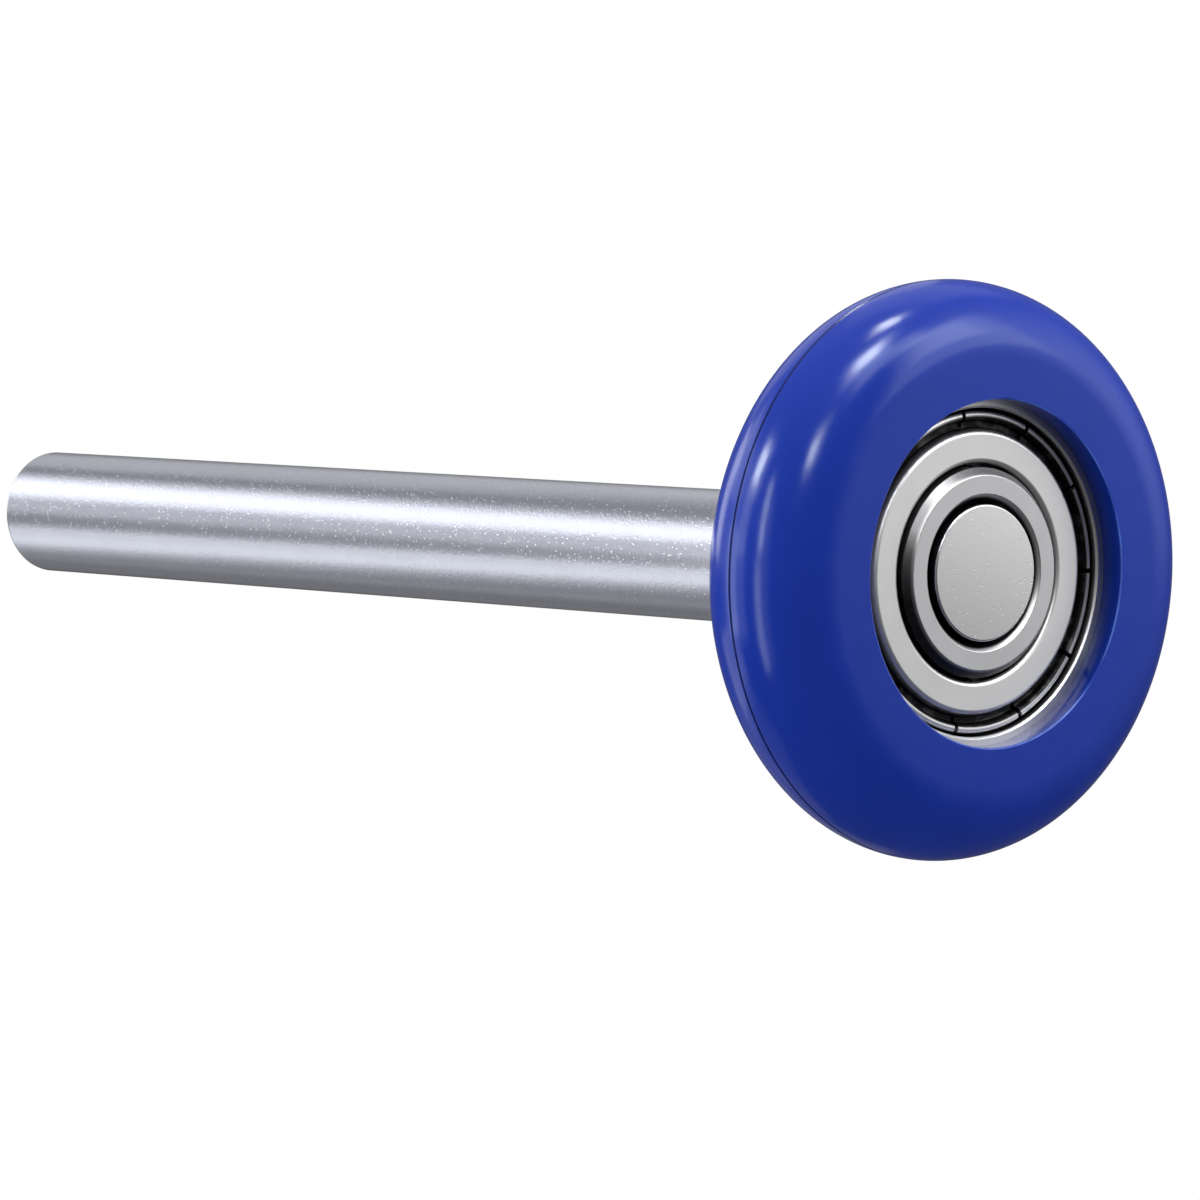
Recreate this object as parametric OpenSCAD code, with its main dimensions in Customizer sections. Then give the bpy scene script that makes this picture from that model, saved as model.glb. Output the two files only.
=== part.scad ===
// Garage door roller: a plastic wheel moulded over a shielded ball bearing, on a plain steel stem.
// The stem runs along +Y. The origin is the centre of the wheel, and the open face looks along -Y.

/* [Stem] */
// Diameter of the plain shank
stem_d = 11; // [10.6:0.1:12]
// Length of the shank from the stop collar to the far end
stem_l = 113.5; // [50:0.5:200]
// Rounding of the shank's far edge
stem_edge = 0.35; // [0.1:0.05:0.8]
// Diameter of the stop collar that the bearing seats against
collar_d = 14; // [13.2:0.1:15]
// Thickness of the stop collar
collar_t = 1.7; // [0.8:0.1:4]
// Diameter of the swaged head that holds the bearing on
head_d = 11; // [10.6:0.1:12]
// Height of the swaged head above the inner ring
head_rise = 0.2; // [0:0.05:0.6]
// Rounding of the swaged head's edge
head_edge = 0.15; // [0.05:0.05:0.3]

/* [Bearing rings] */
// Bore of the inner ring
bore_d = 10; // [9:0.1:10.4]
// Diameter of the countersink at each end of the bore
countersink_d = 12.66; // [12.2:0.02:13]
// Width of the inner ring
inner_w = 9; // [8.6:0.1:10]
// Chamfer on the inner ring's shoulders
inner_chamfer = 0.62; // [0.2:0.02:0.8]
// Outer diameter of the bearing
ring_d = 30; // [28.6:0.1:32]
// Width of the outer ring
outer_w = 8; // [7.8:0.1:8.6]
// Corner chamfer of the outer ring
ring_chamfer = 0.5; // [0.2:0.1:0.8]
// Diameter of the outer ring's mouth, inside its faces
mouth_d = 26.4; // [26:0.1:27]
// Chamfer on the edge of the outer ring's mouth
mouth_chamfer = 0.15; // [0.05:0.05:0.3]

/* [Balls] */
// Number of balls
ball_count = 8; // [6:1:8]
// Diameter of a ball
ball_d = 4.762; // [4.4:0.002:4.8]
// Diameter of the circle through the ball centres
pitch_d = 20; // [19.9:0.05:20.1]
// Radius of the ball track over the diameter of a ball
track_ratio = 0.52; // [0.515:0.005:0.53]
// Clearance between a ball and each track
ball_play = 0.03; // [0.01:0.01:0.05]
// Depth of each ball track below its ring's shoulders
track_depth = 0.84; // [0.75:0.01:0.95]

/* [Cage] */
// Thickness of the cage ribbon
cage_t = 0.4; // [0.3:0.05:0.45]
// Clearance between the cage ribbon and the shoulders of the rings
cage_gap = 0.55; // [0.4:0.05:0.7]
// Clearance between a ball and its pocket
pocket_play = 0.1; // [0.05:0.01:0.15]
// Diameter of a rivet's shank
rivet_d = 0.9; // [0.6:0.1:1]
// Diameter of a rivet's head
rivet_head_d = 1.5; // [1.2:0.1:1.6]
// Diameter of the flat on a rivet's head
rivet_flat_d = 0.9; // [0.5:0.1:1]
// Height of a rivet's head
rivet_head_h = 0.3; // [0.2:0.05:0.4]

/* [Shields] */
// Sheet thickness of a shield
shield_t = 0.3; // [0.2:0.05:0.35]
// Gap between a shield and the inner ring's shoulder
shield_gap = 0.35; // [0.2:0.05:0.5]
// Steepness of the plate's turned-in inner edge, in degrees
hem_angle = 62; // [45:1:75]
// Straight length of the turned-in edge
hem_l = 0.1; // [0.05:0.05:0.3]
// Diameter of a shield's flat plate, to the middle of the bend that ends it
plate_d = 22.7; // [22.4:0.1:22.8]
// Height of the plate above the valley around it
plate_rise = 0.85; // [0.6:0.05:1]
// Height of the rolled rim above the valley
rim_rise = 0.65; // [0.5:0.05:0.7]
// Diameter of the middle of the rolled rim
rim_d = 25.2; // [25.1:0.1:25.3]
// Middle radius of the sheet in a shield's bends
bend_r = 0.25; // [0.2:0.01:0.3]
// Steepness of a shield's bent walls, in degrees
bend_angle = 68; // [60:1:75]
// Number of slots in the rolled rim
slot_count = 11; // [6:1:16]
// Width of a slot
slot_w = 0.4; // [0.2:0.05:0.6]
// Turn of the first slot about the stem, in degrees
slot_turn = 1.7; // [0:0.1:30]
// Depth of the shield groove behind the outer ring's mouth
groove_depth = 0.25; // [0.15:0.05:0.4]
// Height of the shield groove
groove_h = 0.5; // [0.4:0.05:0.7]
// Depth of the shield's seat below the outer ring's face
seat_depth = 1.35; // [1.2:0.05:1.4]

/* [Tyre] */
// Diameter over the crown of the full-round tread
tyre_d = 46.8; // [44:0.1:60]
// Width of the tyre, twice the radius of its tread
tyre_w = 12.2; // [11:0.1:14]
// Diameter of the lip that holds the bearing
lip_d = 27.84; // [27.2:0.02:28.4]
// Rounding of the lip's edge
lip_edge = 0.3; // [0.1:0.05:0.6]
// Depth of the mould parting line
parting_depth = 0.1; // [0.05:0.05:0.2]
// Width of the mould parting line
parting_w = 0.24; // [0.1:0.02:0.4]

/* [Fits] */
// Radial clearance of seated pieces
seat_gap = 0.01; // [0:0.01:0.03]

/* [Hidden] */

$fn = 96;
// Segments of a rounded corner or of a bend
corner_steps = 5;
// Extra length that carries a cut clear of a face
cut = 0.5;

ball_r = ball_d / 2;
pitch_r = pitch_d / 2;
ball_step = 360 / ball_count;
journal_d = bore_d - 2 * seat_gap;
inner_face = inner_w / 2;
outer_face = outer_w / 2;
head_top = inner_face + head_rise;
collar_end = inner_face + collar_t;
stem_end = collar_end + stem_l;
pocket_r = ball_r + pocket_play;
inner_track_r = pitch_r - ball_r - ball_play;
outer_track_r = pitch_r + ball_r + ball_play;
inner_shoulder_r = inner_track_r + track_depth;
outer_shoulder_r = outer_track_r - track_depth;
seat_z = outer_face - seat_depth;
groove_r = mouth_d / 2 + groove_depth;
plate_top = seat_z + shield_t + plate_rise;
steel = [0.72, 0.73, 0.75];
bright_steel = [0.82, 0.82, 0.83];
dark_steel = [0.55, 0.56, 0.58];
blue = [0.1, 0.2, 0.72];

// Stands what was made along Z on the stem's own direction, +Y
module along_stem() {
    rotate([-90, 0, 0]) children();
}

// Points of an arc
function arc(centre, r, from, to, steps = corner_steps) =
    [for (i = [0:steps]) let (a = from + (to - from) * i / steps) centre + r * [cos(a), sin(a)]];

function mirrored(points) = [for (i = [len(points) - 1:-1:0]) [points[i].x, -points[i].y]];

function reversed(points) = [for (i = [len(points) - 1:-1:0]) points[i]];

module ring_of(r, h) {
    translate([0, 0, -h / 2]) cylinder(r = r, h = h);
}

module tube_of(r_in, r_out, h) {
    difference() {
        ring_of(r_out, h);
        ring_of(r_in, h + cut);
    }
}

// Height at which the 45 degree countersink of the inner ring has this diameter
function cone_z(d) = inner_face - (countersink_d - d) / 2;

module stem() {
    r = stem_d / 2;
    head_r = head_d / 2;
    half_head = concat(
        [[0, -head_top]],
        arc([head_r - head_edge, head_edge - head_top], head_edge, -90, 0),
        [[head_r, -cone_z(head_d)], [journal_d / 2, -cone_z(journal_d)]]);
    half_shank = concat(
        [[journal_d / 2, inner_face], [collar_d / 2, inner_face]],
        [[collar_d / 2, collar_end], [r, collar_end]],
        arc([r - stem_edge, stem_end - stem_edge], stem_edge, 0, 90),
        [[0, stem_end]]);
    color(steel) along_stem() rotate_extrude() polygon(concat(half_head, half_shank));
}

// Inner ring: countersunk bore, chamfered shoulders, and the ball track
module inner_ring() {
    half = [
        [bore_d / 2, cone_z(bore_d)],
        [countersink_d / 2, inner_face],
        [inner_shoulder_r - inner_chamfer, inner_face],
        [inner_shoulder_r, inner_face - inner_chamfer]];
    track_r = track_ratio * ball_d;
    color(bright_steel) along_stem() rotate_extrude() difference() {
        polygon(concat(half, mirrored(half)));
        translate([inner_track_r + track_r, 0]) circle(r = track_r);
    }
}

// Outline of the bearing where the tyre grips it
module ring_outline() {
    r = ring_d / 2;
    half = [[r, outer_face - ring_chamfer], [r - ring_chamfer, outer_face], [0, outer_face]];
    polygon(concat(mirrored(half), half));
}

// What the outer ring leaves open: its mouth, shield seat and groove, and the bore between its shoulders
module ring_opening() {
    mouth_r = mouth_d / 2;
    half = [
        [0, outer_face + cut],
        [mouth_r + mouth_chamfer + cut, outer_face + cut],
        [mouth_r, outer_face - mouth_chamfer],
        [mouth_r, seat_z + groove_h],
        [groove_r, seat_z + groove_h],
        [groove_r, seat_z],
        [outer_shoulder_r, seat_z]];
    polygon(concat(half, mirrored(half)));
}

module outer_ring() {
    track_r = track_ratio * ball_d;
    color(bright_steel) along_stem() rotate_extrude() difference() {
        ring_outline();
        ring_opening();
        translate([outer_track_r - track_r, 0]) circle(r = track_r);
    }
}

module at_ball(k) {
    rotate([0, 0, (k - 1) * ball_step]) translate([pitch_r, 0, 0]) children();
}

module ball(k) {
    color(bright_steel) along_stem() at_ball(k) sphere(r = ball_r);
}

module at_rivets() {
    for (k = [1:ball_count]) rotate([0, 0, (k - 0.5) * ball_step]) translate([pitch_r, 0, 0]) children();
}

// One half of the ribbon cage, with a round pocket over each ball
module cage_half() {
    pocket_top = pocket_r + cage_t;
    difference() {
        intersection() {
            union() {
                cylinder(r = outer_shoulder_r, h = cage_t);
                for (k = [1:ball_count]) at_ball(k) sphere(r = pocket_top);
            }
            translate([0, 0, pocket_top / 2])
                tube_of(inner_shoulder_r + cage_gap, outer_shoulder_r - cage_gap, pocket_top);
        }
        for (k = [1:ball_count]) at_ball(k) sphere(r = pocket_r);
        at_rivets() ring_of(rivet_d / 2 + seat_gap, 4 * cage_t);
    }
}

module cage_front() {
    color(dark_steel) along_stem() mirror([0, 0, 1]) cage_half();
}

module cage_rear() {
    color(dark_steel) along_stem() cage_half();
}

module rivet() {
    head_top_z = cage_t + rivet_head_h;
    half = [
        [rivet_d / 2, cage_t],
        [rivet_head_d / 2, cage_t],
        [rivet_flat_d / 2, head_top_z],
        [0, head_top_z]];
    rotate_extrude() polygon(concat(mirrored(half), half));
}

module cage_rivets() {
    color(steel) along_stem() at_rivets() rivet();
}

function heading(a) = [cos(a), sin(a)];
function left_of(a) = [-sin(a), cos(a)];

// Points of a bent sheet's outline, at a distance to the left of its middle line. Each step is a straight
// length and then a turn in degrees on the bend radius.
function bent_line(at, a, steps, aside, i = 0) =
    i == len(steps) ? [] :
    let (
        from = at + steps[i][0] * heading(a),
        turn = steps[i][1],
        side = sign(turn),
        centre = from + side * bend_r * left_of(a),
        after = centre - side * bend_r * left_of(a + turn),
        bend = [for (j = [0:(turn == 0 ? 0 : corner_steps)])
            centre - (side * bend_r - aside) * left_of(a + turn * j / corner_steps)])
    concat(i == 0 ? [at + aside * left_of(a)] : [], bend, bent_line(after, a + turn, steps, aside, i + 1));

// Straight length of a wall between two equal bends that together rise by this height, and its run
function wall_length(rise) = (rise - 2 * bend_r * (1 - cos(bend_angle))) / sin(bend_angle);
function wall_run(rise) = 2 * bend_r * sin(bend_angle) + wall_length(rise) * cos(bend_angle);

// Section of a shield: a turned-in inner edge, a flat plate, a step down into a valley, a rolled rim, and
// the edge in its groove
module shield_section() {
    edge_x = inner_shoulder_r + shield_gap + sin(hem_angle) * shield_t / 2;
    hem_run = hem_l * cos(hem_angle) + bend_r * sin(hem_angle);
    hem_rise = hem_l * sin(hem_angle) + bend_r * (1 - cos(hem_angle));
    plate_l = plate_d / 2 - wall_run(plate_rise) / 2 - edge_x - hem_run;
    rim_start = rim_d / 2 - wall_run(rim_rise);
    valley_l = rim_start - plate_d / 2 - wall_run(plate_rise) / 2;
    edge_l = groove_r - seat_gap - rim_d / 2 - wall_run(rim_rise);
    steps = [
        [hem_l, -hem_angle], [plate_l, -bend_angle], [wall_length(plate_rise), bend_angle],
        [valley_l, bend_angle], [wall_length(rim_rise), -2 * bend_angle],
        [wall_length(rim_rise), bend_angle], [edge_l, 0]];
    start = [edge_x, plate_top - shield_t / 2 - hem_rise];
    polygon(concat(
        bent_line(start, hem_angle, steps, shield_t / 2),
        reversed(bent_line(start, hem_angle, steps, -shield_t / 2))));
}

// A shield lying over the +Z end of the bearing, with slots from its valley out through the rolled rim
module shield() {
    slot_in = plate_d / 2 + wall_run(plate_rise) / 2;
    slot_l = groove_r + cut - slot_in;
    difference() {
        rotate_extrude() shield_section();
        for (k = [1:slot_count]) rotate([0, 0, slot_turn + (k - 1) * 360 / slot_count])
            translate([slot_in, -slot_w / 2, 0]) cube([slot_l, slot_w, plate_top + cut]);
    }
}

module front_shield() {
    color(bright_steel) along_stem() mirror([0, 0, 1]) shield();
}

module rear_shield() {
    color(bright_steel) along_stem() shield();
}

// Tyre: flat faces with a rounded lip, a full-round tread, and the mould's parting line on its crown
module tyre() {
    crown_r = tyre_d / 2;
    face = tyre_w / 2;
    tread_x = crown_r - face;
    half = concat(
        arc([lip_d / 2 + lip_edge, face - lip_edge], lip_edge, 180, 90),
        [[crown_r, face]]);
    color(blue) along_stem() rotate_extrude() difference() {
        polygon(concat(mirrored(half), half));
        outside_tread(tread_x, face);
        ring_outline();
        parting_groove(crown_r);
    }
}

// What lies outside a half-round tread whose centre is here
module outside_tread(x, r) {
    difference() {
        translate([x, -r - cut]) square([r + cut, 2 * (r + cut)]);
        translate([x, 0]) circle(r = r);
    }
}

module parting_groove(r) {
    polygon([[r - parting_depth, 0], [r + parting_depth, parting_w], [r + parting_depth, -parting_w]]);
}

stem();
inner_ring();
outer_ring();
for (k = [1:ball_count])
    ball(k);
cage_front();
cage_rear();
cage_rivets();
front_shield();
rear_shield();
tyre();
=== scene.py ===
# %% [markdown]
# # A garage door roller: looks for a turned, pressed and moulded part
#
# A sectional garage door hangs on rollers like this one. A plastic wheel is moulded over a shielded ball
# bearing, and the bearing is swaged onto a plain steel stem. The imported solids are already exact, so this
# script is about what a solid model can't carry: edges that are eased by a few hundredths of a millimetre,
# the marks that each process leaves, and a small studio to see them in.
#
# Everything is in metres, and the stem runs along +Y through the origin, which is the centre of the wheel.

import math

import bmesh
import bpy
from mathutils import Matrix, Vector


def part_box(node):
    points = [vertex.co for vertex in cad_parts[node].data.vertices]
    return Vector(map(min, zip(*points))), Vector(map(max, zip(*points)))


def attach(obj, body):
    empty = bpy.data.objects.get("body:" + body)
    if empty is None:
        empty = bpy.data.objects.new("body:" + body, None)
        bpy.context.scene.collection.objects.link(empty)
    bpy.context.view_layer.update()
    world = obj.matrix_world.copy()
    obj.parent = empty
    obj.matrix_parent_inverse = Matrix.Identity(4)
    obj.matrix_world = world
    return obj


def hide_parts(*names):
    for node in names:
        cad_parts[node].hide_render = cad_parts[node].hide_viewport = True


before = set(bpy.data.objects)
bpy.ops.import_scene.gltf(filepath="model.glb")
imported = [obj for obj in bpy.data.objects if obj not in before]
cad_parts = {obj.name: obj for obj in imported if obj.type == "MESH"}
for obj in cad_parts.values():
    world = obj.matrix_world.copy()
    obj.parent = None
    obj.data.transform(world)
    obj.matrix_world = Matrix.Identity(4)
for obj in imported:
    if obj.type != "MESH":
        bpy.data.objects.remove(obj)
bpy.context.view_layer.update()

# %% [markdown]
# ## Camera
#
# A long lens from half a metre keeps the stem and the wheel nearly parallel in the picture, as a catalogue
# view does. A short lens close by would swell the wheel and shrink the far end of the stem. The camera
# stands to the left of the open face and a little above the axis, so the stem leads away to the left and
# the wheel closes the view on the right.

# %% Camera
MM = 0.001

camera = bpy.data.objects.new("camera", bpy.data.cameras.new("camera"))
bpy.context.scene.collection.objects.link(camera)
camera.location = (-397.57 * MM, -414.32 * MM, 34.89 * MM)
camera.rotation_euler = (math.radians(86.281), 0, math.radians(-41.047))
camera.data.sensor_width = 36
camera.data.lens = 214.47
camera.data.clip_start = 0.01
bpy.context.scene.camera = camera
print("camera to wheel, mm:", round(camera.location.length / MM))

# %% [markdown]
# ## Studio: a white room and a pale floor
#
# Polished steel has no colour of its own to speak of: it shows the room. The room here is plain white to
# the camera and to reflections, and dimmer as a source of soft light, so the lamps can shape the blue
# plastic, which an evenly white room would leave flat. The floor is a wide pale disc well below the part.
# It fades out at its rim, so that no edge of it shows against the white room, and it takes the soft shadow
# of the roller.

# %% A helper for node trees
def add(tree, kind, values=None, **settings):
    """Adds a node, with settings on the node and values on its inputs."""
    made = tree.nodes.new("ShaderNode" + kind)
    for name, value in settings.items():
        setattr(made, name, value)
    for name, value in (values or {}).items():
        made.inputs[name].default_value = value
    return made


def link(tree, *pairs):
    """Joins pairs of sockets, from an output to an input."""
    for out, into in pairs:
        tree.links.new(out, into)


# %% White room
ROOM_FILL = 0.57

world = bpy.data.worlds.new("white room")
world.use_nodes = True
bpy.context.scene.world = world
room = world.node_tree
room.nodes.clear()
rays = add(room, "LightPath")
seen = add(room, "Math", operation="MAXIMUM")
seen_through = add(room, "Math", operation="MAXIMUM")
level = add(room, "MapRange", {"To Min": ROOM_FILL, "To Max": 1.0})
white = add(room, "Background", {"Color": (1, 1, 1, 1)})
out = add(room, "OutputWorld")
link(room,
     (rays.outputs["Is Camera Ray"], seen.inputs[0]),
     (rays.outputs["Is Glossy Ray"], seen.inputs[1]),
     (seen.outputs[0], seen_through.inputs[0]),
     (rays.outputs["Is Transmission Ray"], seen_through.inputs[1]),
     (seen_through.outputs[0], level.inputs["Value"]),
     (level.outputs["Result"], white.inputs["Strength"]),
     (white.outputs[0], out.inputs["Surface"]))
bpy.context.scene.view_settings.view_transform = "Standard"
print("room fill:", ROOM_FILL)

# %% Pale floor that fades out at its rim
FLOOR_DROP = 0.25
FLOOR_RADIUS = 1.2
FADE_START = 0.6


def disc(name, radius, z, segments=96):
    """A flat round mesh, seen from above."""
    turns = [2 * math.pi * i / segments for i in range(segments)]
    rim = [(radius * math.cos(a), radius * math.sin(a), z) for a in turns]
    mesh = bpy.data.meshes.new(name)
    mesh.from_pydata(rim, [], [list(range(segments))])
    made = bpy.data.objects.new(name, mesh)
    bpy.context.scene.collection.objects.link(made)
    return made


floor = disc("floor", FLOOR_RADIUS, -FLOOR_DROP)
pale = bpy.data.materials.new("pale floor")
pale.use_nodes = True
tree = pale.node_tree
tree.nodes.clear()
place = add(tree, "TexCoord")
away = add(tree, "VectorMath", operation="LENGTH")
fade = add(tree, "MapRange", {"From Min": FADE_START, "From Max": FLOOR_RADIUS},
           interpolation_type="SMOOTHSTEP")
matt = add(tree, "BsdfDiffuse", {"Color": (0.86, 0.86, 0.86, 1)})
gone = add(tree, "BsdfTransparent")
both = add(tree, "MixShader")
out = add(tree, "OutputMaterial")
link(tree,
     (place.outputs["Object"], away.inputs[0]),
     (away.outputs["Value"], fade.inputs["Value"]),
     (fade.outputs["Result"], both.inputs["Fac"]),
     (matt.outputs[0], both.inputs[1]),
     (gone.outputs[0], both.inputs[2]),
     (both.outputs[0], out.inputs["Surface"]))
floor.data.materials.append(pale)
floor.visible_glossy = floor.visible_diffuse = False
print("floor radius:", FLOOR_RADIUS)

# %% [markdown]
# ## Studio: soft boxes inside a dim tent
#
# Shiny metal and glossy plastic show the room around them, so the room is built with care. Each lamp below
# is given by the direction in which it stands from the wheel, its size, and how bright its face looks. A
# real soft box is brightest in the middle and fades outward, and one rectangle can't do that. So the lamps
# come in three kinds. Plain lamps light the part and also show in it. Halos only show: they soften a
# highlight or lay a sheen along a curve, and add no light. Fills only light: they bring up the round of the
# tyre and stay out of its reflections. The near fill stands so close that its light falls off across the
# face of the wheel.
#
# Two rows of long, low boxes stand far back on the left. They make the two bright bands on the stem, and
# being far away they keep both bands parallel to it.
#
# Between the lamps, reflections meet a dim tent. It stays dark near the floor and grows lighter overhead,
# so the plastic keeps its deep blue. Round the large box at the front right, the cloth glows and fades
# outward. The flat fronts of the bearing and the tyre face the lower part of this glow, just where it drops
# off at a hem. This gives them a pale satin that grows lighter towards the upper right.

# %% A helper that makes a soft lamp
WATTS = 4.0  # for each square metre of a lamp whose face looks plain white


def towards(azimuth, elevation):
    """Unit vector at an azimuth from -Y, turning towards +X, and an elevation, both in degrees."""
    a, e = math.radians(azimuth), math.radians(elevation)
    return Vector((math.sin(a) * math.cos(e), -math.cos(a) * math.cos(e), math.sin(e)))


def aim(thing, azimuth, elevation, distance):
    """Stands a lamp in that direction, facing the wheel, with its width level."""
    back = towards(azimuth, elevation)
    thing.location = back * distance
    thing.rotation_euler = back.to_track_quat("Z", "Y").to_euler()


def soft_lamp(name, azimuth, elevation, distance, width, height, brightness):
    """A rectangular lamp whose face has the given brightness, where 1 looks white."""
    data = bpy.data.lights.new(name, "AREA")
    data.shape = "RECTANGLE"
    data.size, data.size_y = width, height
    data.energy = WATTS * width * height * brightness
    lamp = bpy.data.objects.new(name, data)
    bpy.context.scene.collection.objects.link(lamp)
    aim(lamp, azimuth, elevation, distance)
    lamp.visible_camera = False
    return lamp


# %% Lamps, halos and fills
lamps = [
    soft_lamp("overhead right", 71, 79, 0.85, 0.12, 0.14, 17.0),
    soft_lamp("front spot", -33, 35, 0.85, 0.11, 0.14, 12.0),
    soft_lamp("left strip", -85, 19, 0.80, 0.10, 0.34, 5.4),
    soft_lamp("left strip, low", -87, -15, 0.80, 0.13, 0.52, 2.4),
    soft_lamp("left spot", -116, 34, 0.80, 0.14, 0.16, 15.0),
    soft_lamp("far left box", -151, 24, 0.90, 0.60, 0.27, 0.9),
    soft_lamp("far left box, low", -149, -23, 0.90, 0.63, 0.28, 0.6),
    soft_lamp("back box", -172, 12, 0.85, 0.24, 0.34, 1.8),
    soft_lamp("right glow", 130, 52, 0.90, 0.60, 0.50, 0.25),
]
halos = [
    soft_lamp("front top", -1, 65, 0.85, 0.18, 0.15, 18.0),
    soft_lamp("front right box", 40, 31, 0.88, 0.46, 0.58, 1.3),
    soft_lamp("front right box, core", 38, 36, 0.86, 0.26, 0.32, 1.9),
    soft_lamp("front arc", 14, 51, 0.86, 0.42, 0.18, 2.6),
    soft_lamp("front top halo", -1, 64, 0.87, 0.34, 0.28, 2.4),
    soft_lamp("front spot halo", -31, 36, 0.86, 0.23, 0.28, 1.4),
    soft_lamp("left strip halo", -81, -4, 0.82, 0.28, 0.86, 0.5),
    soft_lamp("left spot halo", -114, 34, 0.82, 0.27, 0.26, 1.8),
    soft_lamp("left spot fall", -118, 17, 0.82, 0.22, 0.34, 1.9),
    soft_lamp("left glow", -119, -6, 0.84, 0.30, 0.44, 0.8),
    soft_lamp("near left card", -126, -2, 0.10, 0.030, 0.055, 1.7),
    soft_lamp("far left box halo", -152, 18, 0.92, 0.72, 0.62, 0.33),
    soft_lamp("far left fill", -141, -4, 0.95, 0.50, 0.45, 0.2),
    soft_lamp("far left low halo", -152, -26, 0.92, 0.70, 0.38, 0.2),
    soft_lamp("back glow", 154, 28, 0.95, 0.60, 0.40, 0.34),
    soft_lamp("low back glow", -158, -42, 0.90, 0.80, 0.60, 0.2),
    soft_lamp("low back glow, right", 158, -32, 0.90, 0.50, 0.45, 0.12),
]
for halo in halos:
    halo.visible_diffuse = False
fills = [
    soft_lamp("near fill", 50, 50, 0.13, 0.06, 0.06, 7.0),
    soft_lamp("left fill", -140, 20, 0.90, 0.90, 0.90, 0.55),
    soft_lamp("right fill", 100, 5, 0.90, 0.90, 0.90, 0.5),
    soft_lamp("back fill", 175, 15, 0.90, 0.90, 0.90, 1.1),
]
for fill in fills:
    fill.visible_glossy = False
print("lamps:", len(lamps), "- halos:", len(halos), "- fills:", len(fills))

# %% Dim tent
TENT_RADIUS = 1.15

shape = bmesh.new()
bmesh.ops.create_uvsphere(shape, u_segments=96, v_segments=48, radius=TENT_RADIUS)
mesh = bpy.data.meshes.new("dim tent")
shape.to_mesh(mesh)
shape.free()
tent = bpy.data.objects.new("dim tent", mesh)
bpy.context.scene.collection.objects.link(tent)
print("tent faces:", len(tent.data.polygons))

# %% Glow on the cloth of the tent
TENT_DIM = 0.09
TENT_TOP = 0.62
TENT_CURVE = 4.5
GLOW_AT = (58, 14)
GLOW_CORE = 4.0
GLOW_REACH = 46.0
GLOW_PEAK = 1.5
GLOW_CURVE = 1.5
HEM_FROM = -5.5
HEM_TO = -1.5
HEM_DIM = 0.46

cloth = bpy.data.materials.new("dim cloth")
cloth.use_nodes = True
tree = cloth.node_tree
tree.nodes.clear()
place = add(tree, "TexCoord")
apart = add(tree, "SeparateXYZ")
height = add(tree, "MapRange", {"From Min": -TENT_RADIUS, "From Max": TENT_RADIUS})
curve = add(tree, "Math", {1: TENT_CURVE}, operation="POWER")
tone = add(tree, "MapRange", {"To Min": TENT_DIM, "To Max": TENT_TOP})
way = add(tree, "VectorMath", operation="NORMALIZE")
facing = add(tree, "VectorMath", {1: towards(*GLOW_AT)}, operation="DOT_PRODUCT")
apart_by = add(tree, "Math", operation="ARCCOSINE")
nearness = add(tree, "MapRange", {
    "From Min": math.radians(GLOW_REACH), "From Max": math.radians(GLOW_CORE)})
falloff = add(tree, "Math", {1: GLOW_CURVE}, operation="POWER")
patch = add(tree, "Math", {1: GLOW_PEAK}, operation="MULTIPLY")
rise = add(tree, "SeparateXYZ")
hem = add(tree, "MapRange", {
    "From Min": math.sin(math.radians(HEM_FROM)), "From Max": math.sin(math.radians(HEM_TO)),
    "To Min": HEM_DIM})
hemmed = add(tree, "Math", operation="MULTIPLY")
total = add(tree, "Math", operation="ADD")
shine = add(tree, "Emission")
out = add(tree, "OutputMaterial")
link(tree,
     (place.outputs["Object"], apart.inputs[0]),
     (apart.outputs["Z"], height.inputs["Value"]),
     (height.outputs["Result"], curve.inputs[0]),
     (curve.outputs[0], tone.inputs["Value"]),
     (place.outputs["Object"], way.inputs[0]),
     (way.outputs[0], facing.inputs[0]),
     (facing.outputs["Value"], apart_by.inputs[0]),
     (apart_by.outputs[0], nearness.inputs["Value"]),
     (nearness.outputs["Result"], falloff.inputs[0]),
     (falloff.outputs[0], patch.inputs[0]),
     (way.outputs[0], rise.inputs[0]),
     (rise.outputs["Z"], hem.inputs["Value"]),
     (patch.outputs[0], hemmed.inputs[0]),
     (hem.outputs["Result"], hemmed.inputs[1]),
     (tone.outputs["Result"], total.inputs[0]),
     (hemmed.outputs[0], total.inputs[1]),
     (total.outputs[0], shine.inputs["Strength"]),
     (shine.outputs[0], out.inputs["Surface"]))
tent.data.materials.append(cloth)
tent.visible_camera = tent.visible_diffuse = tent.visible_shadow = False
print("tent nodes:", len(tree.nodes))

# %% [markdown]
# ## Turning pieces from their profiles
#
# The tyre, the stem and the two bearing rings are all round about the stem, so each is made the way a lathe
# makes it: a profile swept round the axis. A turned or ground edge is never perfectly sharp. Where the
# profile turns a corner, a small arc takes its place, and the exact direction of the surface is stored at
# every point. Flats then shade as true flats, and each eased edge catches a thin line of light. A Bevel
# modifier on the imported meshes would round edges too, but it can't tell a real corner from the small facets
# of a curve.

# %% Profile with eased corners
SMOOTH_TURN = math.radians(8)  # a smaller turn belongs to a curve and keeps its point
ARC_STEP = math.radians(15)
SIDE_SHARE = 0.45  # an arc may take up this much of the sides next to it


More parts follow.
